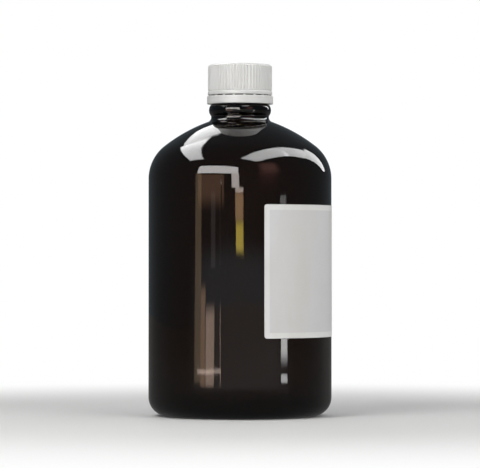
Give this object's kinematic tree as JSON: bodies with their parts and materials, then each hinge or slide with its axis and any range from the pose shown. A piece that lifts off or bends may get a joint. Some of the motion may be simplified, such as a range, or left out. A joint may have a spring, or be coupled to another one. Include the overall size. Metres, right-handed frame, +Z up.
{
  "type": "reagent bottle",
  "caption": "Wide amber glass reagent bottle with a low shoulder and short neck, a ribbed lined screw cap, a tamper ring left on the neck, and a blank paper label.",
  "frame": {"origin": "middle of the base, in the plane that the bottle stands on", "axes": "+Z up along the bottle's axis; -Y through the middle of the label"},
  "size_m": [0.136, 0.1362, 0.2608],
  "materials": {
    "amber_glass": "dark amber glass, polished, with a faint mould seam",
    "cap_plastic": "white moulded polypropylene, satin, with grip ribs",
    "ring_plastic": "white moulded polypropylene, satin",
    "liner_foam": "closed-cell polyethylene foam",
    "liner_film": "smooth white fluoropolymer film",
    "label_paper": "blank coated paper, semi-matte"
  },
  "bodies": {
    "bottle": {"glass_bottle": "amber_glass", "paper_label": "label_paper"},
    "tamper_ring": {"tamper_ring": "ring_plastic"},
    "cap": {"screw_cap": "cap_plastic", "liner_foam": "liner_foam", "liner_facing": "liner_film"}
  },
  "joints": [
    {"name": "cap_turn", "type": "hinge", "parent": "bottle", "child": "tamper_ring", "pos_m": [0, 0, 0.2344], "axis": [0, 0, 1], "range_deg": [0, 3600]},
    {"name": "cap_lift", "type": "slide", "parent": "tamper_ring", "child": "cap", "axis": [0, 0, 1], "range_m": [0, 0.0401]}
  ],
  "couplings": [
    {"joint": "cap_lift", "follows": "cap_turn", "m_per_rad": 0.00063662}
  ]
}
